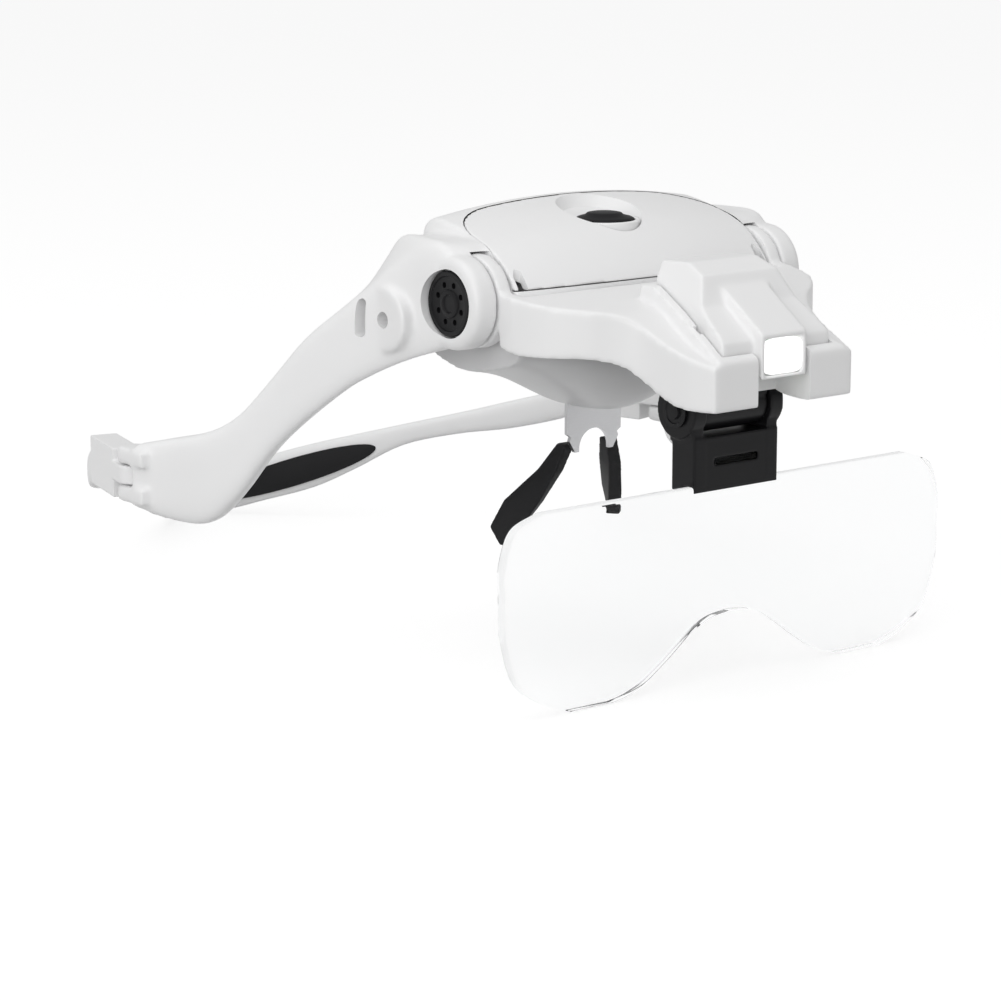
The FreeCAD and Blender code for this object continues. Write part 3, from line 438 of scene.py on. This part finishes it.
def cover_outline(gap):
    """The battery cover's D: straight in front, rounded behind."""
    half, rear, corner = 30.2 + gap, 25.6 + gap, 11.0
    outline = [(-half, -5.0), (half, -5.0)]
    for k in range(10):
        turn = math.radians(10 * k)
        outline.append((half - corner + corner * math.cos(turn), rear - corner + corner * math.sin(turn)))
    for k in range(10):
        turn = math.radians(90 + 10 * k)
        outline.append((-half + corner + corner * math.cos(turn), rear - corner + corner * math.sin(turn)))
    return outline


def cover_space(gap):
    space = slab("cover_space", cover_outline(gap), 0.4 - gap, 40)
    return cut(space, [crown("inner", 2.0, 36, -30)])


# Outer and inner plan points of a wing with the heights of its top and bottom edges.
WING = [(27.0, 10.0, 27.0, 30.6, 8.6, -9.0), (31.0, 10.2, 31.0, 30.8, 8.6, -9.4),
        (35.8, 10.8, 34.2, 31.0, 8.6, -10.8), (39.0, 13.4, 36.0, 31.6, 8.6, -11.8),
        (41.3, 22.0, 37.6, 32.6, 4.6, -14.4), (44.2, 28.5, 40.0, 34.0, -0.6, -17.2),
        (46.5, 32.7, 42.0, 36.8, -4.2, -19.8), (50.5, 40.0, 45.6, 43.4, -10.7, -26.0),
        (54.0, 45.5, 49.0, 48.9, -18.2, -32.2), (58.0, 51.0, 52.8, 54.2, -25.6, -41.0),
        (61.5, 56.5, 55.9, 59.0, -29.2, -46.4), (65.0, 63.5, 59.2, 65.2, -31.0, -46.6),
        (68.9, 70.2, 63.1, 70.4, -32.5, -44.7)]
HINGE = (66.0, 73.7)
HINGE_MIDDLE = -38.7
RING_FACES = (30.9, 33.8)
BOSS_FACE = 39.0
BOSS_RADIUS = 8.4


def wing():
    rings = []
    for ox, oy, ix, iy, top, low in eased(WING, 4):
        centre = ((ox + ix) / 2, (oy + iy) / 2, (top + low) / 2)
        rings.append(oval(centre, ((ix - ox) / 2, (iy - oy) / 2, 0), (0, 0, (top - low) / 2), 4.2, 44))
    return loft("wing", rings)


def knuckle(low, high):
    """A round hinge knuckle with the web that joins it to the wing."""
    x, y = HINGE
    eye = turned_piece("eye", [(low, 2.4), (low + 0.4, 2.9), (high - 0.4, 2.9), (high, 2.4)], (x, y, 0), "Z")
    return [eye, box_piece(x - 2.8, x + 2.8, y - 7.0, y, low + 0.1, high - 0.1)]


def main_frame():
    boss = bar_x(BOSS_RADIUS, RING_FACES[1] + 0.4, BOSS_FACE, PIVOT.y, PIVOT.z, edge=1.4)
    pad = bar_x(5.9, 36.0, 43.2, *WING_HOLE, edge=0.4)
    low, high = HINGE_MIDDLE - 5.25, HINGE_MIDDLE + 5.25
    half_parts = [wing(), boss, pad]
    half_parts += knuckle(low, low + 3.25) + knuckle(high - 3.25, high)
    parts = half_parts + [mirrored(part) for part in half_parts] + [crown("crown", 0, CROWN_HALF, -9.0)]
    shell = fused("main_frame_shell", parts, 0.5, 7)
    cutters = []
    for side in (-1, 1):
        cutters.append(bar_x(BOSS_RADIUS + 0.4, CROWN_HALF, RING_FACES[1] + 0.4, PIVOT.y, PIVOT.z, side))
        cutters.append(bar_x(6.15, BOSS_FACE - 2.2, BOSS_FACE + 4, PIVOT.y, PIVOT.z, side))
        cutters.append(bar_x(3.5, 29.9, BOSS_FACE - 2, PIVOT.y, PIVOT.z, side))
        cutters.append(bar_x(1.5, 39.3, 48, *WING_HOLE, side, count=32))
        cutters.append(bar_x(1.2, 35.8, 48, *WING_HOLE, side, count=32))
        slot = slab("strap_slot", oval_outline(29.9, -6.1, 0.95, 3.5), 40.6, 52, "X")
        cutters.append(slot if side > 0 else flipped(slot))
        x, y = HINGE
        gap = turned_piece("gap", [(HINGE_MIDDLE - 2.0, 3.35), (HINGE_MIDDLE + 2.0, 3.35)],
                           (side * x, y, 0), "Z")
        cutters.append(gap)
    cutters.append(cut(crown("room", 2.0, 25.0, -30), [box_piece(-60, 60, -20, 60, -60, -30)]))
    cutters.append(cover_space(0.12))
    cut(shell, cutters)
    dressed(shell, "white_shell", "frame", "main_frame")


def oval_outline(back, up, half_back, half_up):
    """A slot outline with round ends."""
    outline = []
    for k in range(24):
        turn = 2 * math.pi * k / 24
        lift = math.copysign(half_up - half_back, math.sin(turn)) if abs(math.sin(turn)) > 1e-6 else 0
        outline.append((back + half_back * math.cos(turn), up + lift + half_back * math.sin(turn)))
    return outline


def flipped(piece):
    twin = mirrored(piece, piece.name)
    drop(piece)
    return twin


def battery_cover():
    layer = cut(crown("battery_cover_skin", 0, 31.0, -20), [cover_space(0.0)], "INTERSECT")
    boss = cut(turned_piece("boss", [(7.8, 10.6), (20.0, 10.6)], BUTTON_SPOT, "Z"),
               [crown("roof", 0.2, 31.0, -20)], "INTERSECT")
    layer = fused("battery_cover_skin", [layer, boss], 0.35, 3)
    dish = turned_piece("dish", [(9.3, 6.6), (9.9, 7.0), (10.8, 7.8), (12.0, 8.6), (13.4, 9.4),
                                 (16.0, 10.4), (30.0, 12.0)], BUTTON_SPOT, "Z")
    bore = turned_piece("bore", [(2.0, 6.85), (12.0, 6.85)], BUTTON_SPOT, "Z")
    cut(layer, [dish, bore])
    for side in (-1, 1):
        slit = slab("slit", [(side * 27.5, 1.0), (side * 29.7, 1.0), (side * 29.5, 5.2), (side * 28.6, 6.2),
                             (side * 27.6, 5.6)], -4, 20)
        cut(layer, [slit])
    dressed(layer, "white_shell", "cover", "battery_cover")


def housing_bottom():
    rings = []
    for k in range(41):
        x = 30.0 * (k / 20 - 1)
        low = -15.0 - 10.6 * math.exp(-(x / 18.5) ** 2)
        line = [(2.6, -9.0), (3.6, (low - 9) / 2), (8.2, low + 1.6), (18.0, low), (25.2, low + 1.2),
                (29.4, (low - 9) / 2), (30.5, -9.0)]
        rings.append([(x, y, z) for y, z in eased(line, 5)])
    bowl = fused("housing_bottom_bowl", [loft("bowl", rings)], 0.5, 5)
    # The bowl is white plastic like the shell; its darker grey finish is painted shade for the underside.
    dressed(bowl, "white_shell", "frame", "housing_bottom", finish="painted_shade_shell")


def button_and_bezel():
    button = turned_piece("power_button_dome", [(7.2, 1.9), (8.3, 1.95), (8.4, 5.5), (9.6, 5.65),
                                                (9.95, 5.45), (10.2, 4.9), (10.5, 3.6),
                                                (10.9, 3.2), (11.03, 2.6),
                                                (11.08, 0.4)], BUTTON_SPOT, "Z")
    dressed(button, "black_rubber", "button", "power_button", angle=50)
    ring = turned_piece("button_bezel_ring", [(7.6, 5.75), (7.6, 6.55), (9.5, 6.55), (9.7, 6.35),
                                              (9.7, 5.75)], BUTTON_SPOT, "Z")
    core = turned_piece("core", [(7.0, 5.75), (11.0, 5.75)], BUTTON_SPOT, "Z")
    dressed(cut(ring, [core]), "white_shell", "frame", "button_bezel")


# ---------------------------------------------------------------- pivots

def pivot_caps():
    for name, side in SIDES:
        cap = turned_piece(name + "_pivot_cap_disc",
                           [(37.0, 5.7), (38.7, 5.88), (39.0, 5.6), (39.0, 4.95), (38.7, 4.8), (38.55, 4.2),
                            (38.55, 2.6), (38.8, 2.45), (38.9, 2.0), (38.9, 1.7), (38.6, 1.5), (38.6, 0.2)],
                           (0, PIVOT.y, PIVOT.z), "X", side)
        pockets = []
        for k in range(8):
            turn = math.radians(45 * k + 20)
            pockets.append(bar_x(0.55, 37.9, 40, PIVOT.y + 3.5 * math.cos(turn),
                                 PIVOT.z + 3.5 * math.sin(turn), side, count=20))
        cut(cap, pockets)
        dressed(cap, "black_plastic", "frame", name + "_pivot_cap", angle=30)


# ---------------------------------------------------------------- front bracket

PLAN = [(33.8, 4.0), (33.6, -0.8), (31.6, -6.5), (27.2, -11.7), (22.8, -15.2), (20.2, -18.4),
        (18.9, -24.0), (18.0, -28.5), (16.2, -33.3)]
TOP_EDGE = [(6.0, 0.6), (-0.5, -0.3), (-7.4, -1.1), (-11.7, -1.6), (-15.3, -2.4), (-18.5, -4.2),
            (-23.0, -6.6), (-29.0, -8.8), (-33.4, -9.8)]
LOW_EDGE = [(-33.4, -17.9), (-29.4, -17.9), (-24.6, -17.2), (-19.2, -14.2), (-15.5, -11.5), (-11.7, -10.2),
            (-5.8, -10.2), (0.5, -10.1), (6.0, -8.4)]
NOTCH_HALF = 6.2


def bracket_block(inset):
    half = [(x - inset, y + inset * 0.55) for x, y in eased(PLAN, 5)]
    if inset:
        half = [(x, y) for x, y in half if y < -1.4]
        half.insert(0, (half[0][0], -1.3))
    outline = half + [(-x, y) for x, y in reversed(half)]
    block = slab("plan", outline, -40, 40)
    top, low = eased(TOP_EDGE, 5), eased(LOW_EDGE, 5)
    if inset:
        top = [(y, z - inset) for y, z in top]
        low = [(y, -30.0) for y, _z in low]
    side = slab("profile", top + low, -60, 60, "X")
    return cut(block, [side], "INTERSECT")


def pocket(gap, low, high):
    rear_half, front_half = 9.7 + gap, 13.1 + gap
    return slab("pocket", [(-rear_half, -7.8), (rear_half, -7.8), (front_half, -31.6 - gap),
                           (-front_half, -31.6 - gap)], low, high)


def front_bracket():
    shell = bracket_block(0)
    hollow = cut(bracket_block(2.2), [box_piece(-60, 60, -24.0, 20, -40, 40)], "INTERSECT")
    behind = box_piece(-RING_FACES[0], RING_FACES[0], 0.9, 30, -30, 30)
    shell = cut(shell, [hollow, behind])
    wall = slab("wall", [(-8.4, 1.3), (-12.0, 1.5), (-20.0, -2.2), (-31.2, -8.4), (-33.0, -9.0),
                         (-33.0, -13.0), (-8.4, -12.2)], -60, 60, "X")
    wall = cut(wall, [pocket(2.0, -40, 40)], "INTERSECT")
    lug = slab("lug", [(-13.6, -11), (-13.6, -20.2), (-15.0, -23.0), (-17.0, -23.6), (-19.0, -23.0),
                       (-20.4, -20.2), (-20.4, -11)], -7.4, 7.4, "X")
    rings = [bar_x(BOSS_RADIUS, RING_FACES[0], RING_FACES[1], PIVOT.y, PIVOT.z, side) for side in (-1, 1)]
    shell = fused("front_bracket_shell", [shell, wall] + rings, 0.45, 7)
    barrel = bar_x(4.25, -7.3, 7.3, *HOLDER_PIN)
    web = box_piece(-7.3, 7.3, -21.2, -13.0, -18.6, -11.0)
    lug = cut(fused("front_bracket_lug", [lug, web, barrel], 0.25, 3),
              [bar_x(1.6, -8.5, 8.5, *HOLDER_PIN, count=32)])
    dressed(lug, "black_plastic", "bracket")
    cutters = [pocket(0, -10.0, 40), box_piece(-NOTCH_HALF, NOTCH_HALF, -60, -30.6, -40, 40),
               box_piece(-NOTCH_HALF, NOTCH_HALF, -60, -24.4, -40, -9.9),
               bar_x(1.6, -8.5, 8.5, *HOLDER_PIN, count=32), bar_x(1.0, -12.3, 12.3, -12.6, -6.6, count=24)]
    for side in (-1, 1):
        cutters.append(bar_x(3.5, 29, 36, PIVOT.y, PIVOT.z, side))
        cutters.append(box_piece(side * 12.0 - 0.9, side * 12.0 + 0.9, -25.6, -23.6, -9, 6))
    cut(shell, cutters)
    dressed(shell, "white_shell", "bracket", "front_bracket")


# ---------------------------------------------------------------- lamp

def lamp_housing():
    body = fused("lamp_housing_hood", [from_node("lamp_housing", "hood")], 0.35, 12)
    dressed(body, "white_shell", "lamp", "lamp_housing")
    window = slab("lamp_window_lens", oval_outline_flat(0, -9.4, 4.45, 3.15), -33.15, -32.0, "Y")
    dressed(bevelled(window, 0.35), "lamp_diffuser", "lamp", "lamp_window")


def oval_outline_flat(across, up, half_across, half_up):
    return [(x, z) for x, _y, z in oval((across, 0, up), (half_across, 0, 0), (0, 0, half_up), 5.0, 48)]


# ---------------------------------------------------------------- lens holder and lens

def lens_holder():
    body = fused("lens_holder_clip", [from_node("lens_holder", "clip")], 0.22, 3)
    dressed(body, "black_plastic", "holder", "lens_holder")
    pins = []
    for _name, side in SIDES:
        pins.append(turned_piece("head", [(9.4, 1.55), (10.75, 1.55), (10.78, 2.9), (11.1, 3.0), (11.15, 2.3),
                                          (11.0, 2.15), (11.0, 1.5), (11.45, 1.35), (11.5, 0.2)],
                                 (0, *HOLDER_PIN), "X", side))
    pins.append(bar_x(1.55, -9.6, 9.6, *HOLDER_PIN))
    dressed(joined("holder_pin_heads", pins), "black_plastic", "bracket", "holder_pin", angle=30)


def lens_plate():
    top, low = -33.7, -69.5
    rim = eased([(43.4, top), (49.5, top - 2.5), (51.95, top - 8.6), (51.9, top - 14.0), (51.6, low + 14.5),
                 (47.8, low + 5.2), (37.5, low), (28.0, low), (22.0, low + 1.5), (16.5, low + 4.8),
                 (9.5, low + 9.7), (5.1, low + 11.7), (0.0, low + 12.4)], 8)
    half = [(7.2, top + 8.2), (7.2, top)] + [(x, max(z, low)) for x, z in rim]
    outline = half + [(-x, z) for x, z in reversed(half[:-1])]
    sheet = bevelled(slab("magnifier_lens_sheet", outline, -20.9, -18.5, "Y"), 0.25, 3, 50)
    dressed(sheet, "clear_lens", "lens", "magnifier_lens", angle=30)


# ---------------------------------------------------------------- nose rest

def nose_rest():
    for name, _side in SIDES:
        pad = fused(name + "_nose_pad_rubber", [from_node(name + "_nose_pad", "pad")], 0.25, 8)
        dressed(pad, "black_rubber", "frame", name + "_nose_pad")


# ---------------------------------------------------------------- temples

# Along an arm behind its elbow: reach, middle height, height, thickness.
ARM = [(0.0, -43.2, 6.6, 2.6), (11.5, -46.0, 6.0, 2.6), (23.0, -48.2, 4.6, 2.6), (35.0, -51.0, 4.6, 2.6),
       (45.5, -55.0, 7.6, 2.6), (55.0, -58.4, 9.8, 2.6), (66.0, -61.6, 9.8, 2.6), (75.0, -64.4, 9.0, 2.4),
       (79.4, -65.6, 4.6, 1.4)]


ELBOW_REACH = 26.0
SOCKET_TURN = 15.0
ARM_TURN = 43.6


def turn_about_hinge(point, side):
    """Swings a point drawn straight behind the hinge to the temple's rest angle."""
    turn = math.radians(SOCKET_TURN)
    x, y, z = point
    dx, dy = x - HINGE[0], y - HINGE[1]
    return (side * (HINGE[0] + dx * math.cos(turn) - dy * math.sin(turn)),
            HINGE[1] + dx * math.sin(turn) + dy * math.cos(turn), z)


def temple(name, side):
    lean = math.radians(ARM_TURN - SOCKET_TURN)
    elbow = Vector((HINGE[0], HINGE[1] + ELBOW_REACH, 0))
    along = Vector((-math.sin(lean), math.cos(lean), 0))
    across = Vector((math.cos(lean), math.sin(lean), 0))
    middle = HINGE_MIDDLE - 0.6
    x, y = HINGE
    rows = [(x, y + 7, middle, 3.4, 1.3, 1.0, 0.0),
            (x, y + 18, middle, 3.4, 1.35, 1.0, 0.0),
            (x, y + 19.5, middle, 4.0, 1.5, 1.0, 0.0),
            (x, y + 22.5, middle - 1.4, 3.8, 1.4, 1.0, 0.0)]
    corner = (Vector((1, 0, 0)) + across).normalized()
    for reach, up, tall, wide in ARM:
        spot = elbow + along * reach
        lay = corner if reach == 0.0 else across
        rows.append((spot.x, spot.y, up, tall / 2, wide / 2, lay.x, lay.y))
    rings = []
    for x, y, z, tall, wide, ax, ay in eased(rows, 5):
        ring = oval((x, y, z), (ax * wide, ay * wide, 0), (0, 0, tall), 3.0, 28)
        rings.append([turn_about_hinge(p, side) for p in ring])
    arm = loft(name + "_temple_arm_blade", rings)
    dressed(arm, "white_shell", name + "_temple", name + "_temple_arm", angle=60)
    middle_pad = elbow + along * 60.0 - across * 1.25
    pad_middle, pad_half_long, pad_half_tall = -60.0, 19.0, 3.2
    slope = (-64.4 + 55.0) / 29.5
    rings = []
    for depth, share in ((-0.1, 1.0), (0.35, 1.0), (0.65, 0.97), (0.8, 0.9)):
        ring = []
        for k in range(48):
            turn = 2 * math.pi * k / 48
            reach = pad_half_long * share * math.cos(turn)
            up = pad_middle + slope * reach + pad_half_tall * share * math.sin(turn)
            spot = middle_pad + along * reach - across * depth
            ring.append(turn_about_hinge((spot.x, spot.y, up), side))
        rings.append(ring)
    dressed(loft(name + "_temple_pad_oval", rings), "black_rubber", name + "_temple", name + "_temple_pad")
    sleeve = fused(name + "_temple_socket_sleeve", [from_node(name + "_temple_socket", "sleeve")], 0.22, 3)
    dressed(sleeve, "white_shell", name + "_temple", name + "_temple_socket")


# ---------------------------------------------------------------- stage

FLOOR_HALF = 6.0
ROOM_LIGHT = 0.58
FLOOR_GLOW = 1.19
GLOW_SHARE = 0.6


def stage():
    floor_low = min(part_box("magnifier_lens")[0].z, 0.0) - 0.0002
    mesh = bpy.data.meshes.new("floor")
    corners = [(x * FLOOR_HALF, y * FLOOR_HALF, floor_low) for x, y in ((-1, -1), (1, -1), (1, 1), (-1, 1))]
    mesh.from_pydata(corners, [], [(0, 1, 2, 3)])
    floor = bpy.data.objects.new("floor", mesh)
    scene.collection.objects.link(floor)
    finish = Finish("pale_floor")
    seen = finish.node("ShaderNodeLightPath")
    glossy = finish.node("ShaderNodeLightPath", output="Is Glossy Ray")
    through = finish.node("ShaderNodeLightPath", output="Is Transmission Ray")
    bounced = finish.node("ShaderNodeMath", {"operation": "MAXIMUM"}, {0: glossy, 1: through})
    shown = finish.node("ShaderNodeMath", {"operation": "MAXIMUM"}, {0: seen, 1: bounced})
    tone = finish.mixed(shown, (0.46, 0.46, 0.46), (0.95, 0.95, 0.95))
    matt = finish.node("ShaderNodeBsdfDiffuse", {}, {"Color": tone})
    glow = finish.node("ShaderNodeEmission", {}, {"Color": (1, 1, 1, 1), "Strength": FLOOR_GLOW})
    share = shown * GLOW_SHARE
    finish.finished(finish.node("ShaderNodeMixShader", {}, {0: share, 1: matt, 2: glow}))
    floor.data.materials.append(finish.material)

    room = Finish("soft_room", bpy.data.worlds.new("soft_room"))
    scene.world = room.material
    camera_ray = room.node("ShaderNodeLightPath")
    through = room.node("ShaderNodeLightPath", output="Is Transmission Ray")
    either = room.node("ShaderNodeMath", {"operation": "MAXIMUM"}, {0: camera_ray, 1: through})
    plain = room.node("ShaderNodeBackground", {}, {"Color": (1, 1, 1, 1), "Strength": ROOM_LIGHT})
    white = room.node("ShaderNodeBackground", {}, {"Color": (1, 1, 1, 1), "Strength": 1.0})
    backdrop = room.node("ShaderNodeMixShader", {}, {0: either, 1: plain, 2: white})
    room.node("ShaderNodeOutputWorld", {}, {"Surface": backdrop})

    for name, spot, aim, wide, power in (("top_softbox", (-0.15, -0.1, 0.9), (0, 0, 0), 0.9, 2.0),
                                         ("front_softbox", (-0.9, -0.55, 0.35), (0, 0, 0.03), 0.8, 4.6)):
        light = bpy.data.lights.new(name, "AREA")
        light.shape = "SQUARE"
        light.size = wide
        light.energy = power
        lamp = bpy.data.objects.new(name, light)
        lamp.location = spot
        lamp.rotation_euler = (Vector(aim) - Vector(spot)).to_track_quat("-Z", "Y").to_euler()
        scene.collection.objects.link(lamp)

    view = bpy.data.cameras.new("camera")
    view.lens = 116.9
    view.sensor_width = 36.0
    view.clip_end = 50
    camera = bpy.data.objects.new("camera", view)
    camera.location = (-0.3844, -0.4992, 0.1526)
    camera.rotation_euler = (math.radians(78.0), 0, math.radians(-38.5))
    scene.collection.objects.link(camera)
    scene.camera = camera
    scene.view_settings.view_transform = "Standard"


# ---------------------------------------------------------------- assembly

main_frame()
housing_bottom()
battery_cover()
button_and_bezel()
pivot_caps()
front_bracket()
lamp_housing()
lens_holder()
lens_plate()
nose_rest()
for temple_name, temple_side in SIDES:
    temple(temple_name, temple_side)

slots = {part["node"]: part["material_slot"] for part in frame["record"]["subparts"]}
for node, thing in frame["nodes"].items():
    if not thing.hide_render:
        thing.data.materials.clear()
        thing.data.materials.append(FINISHES[slots[node]])
stage()
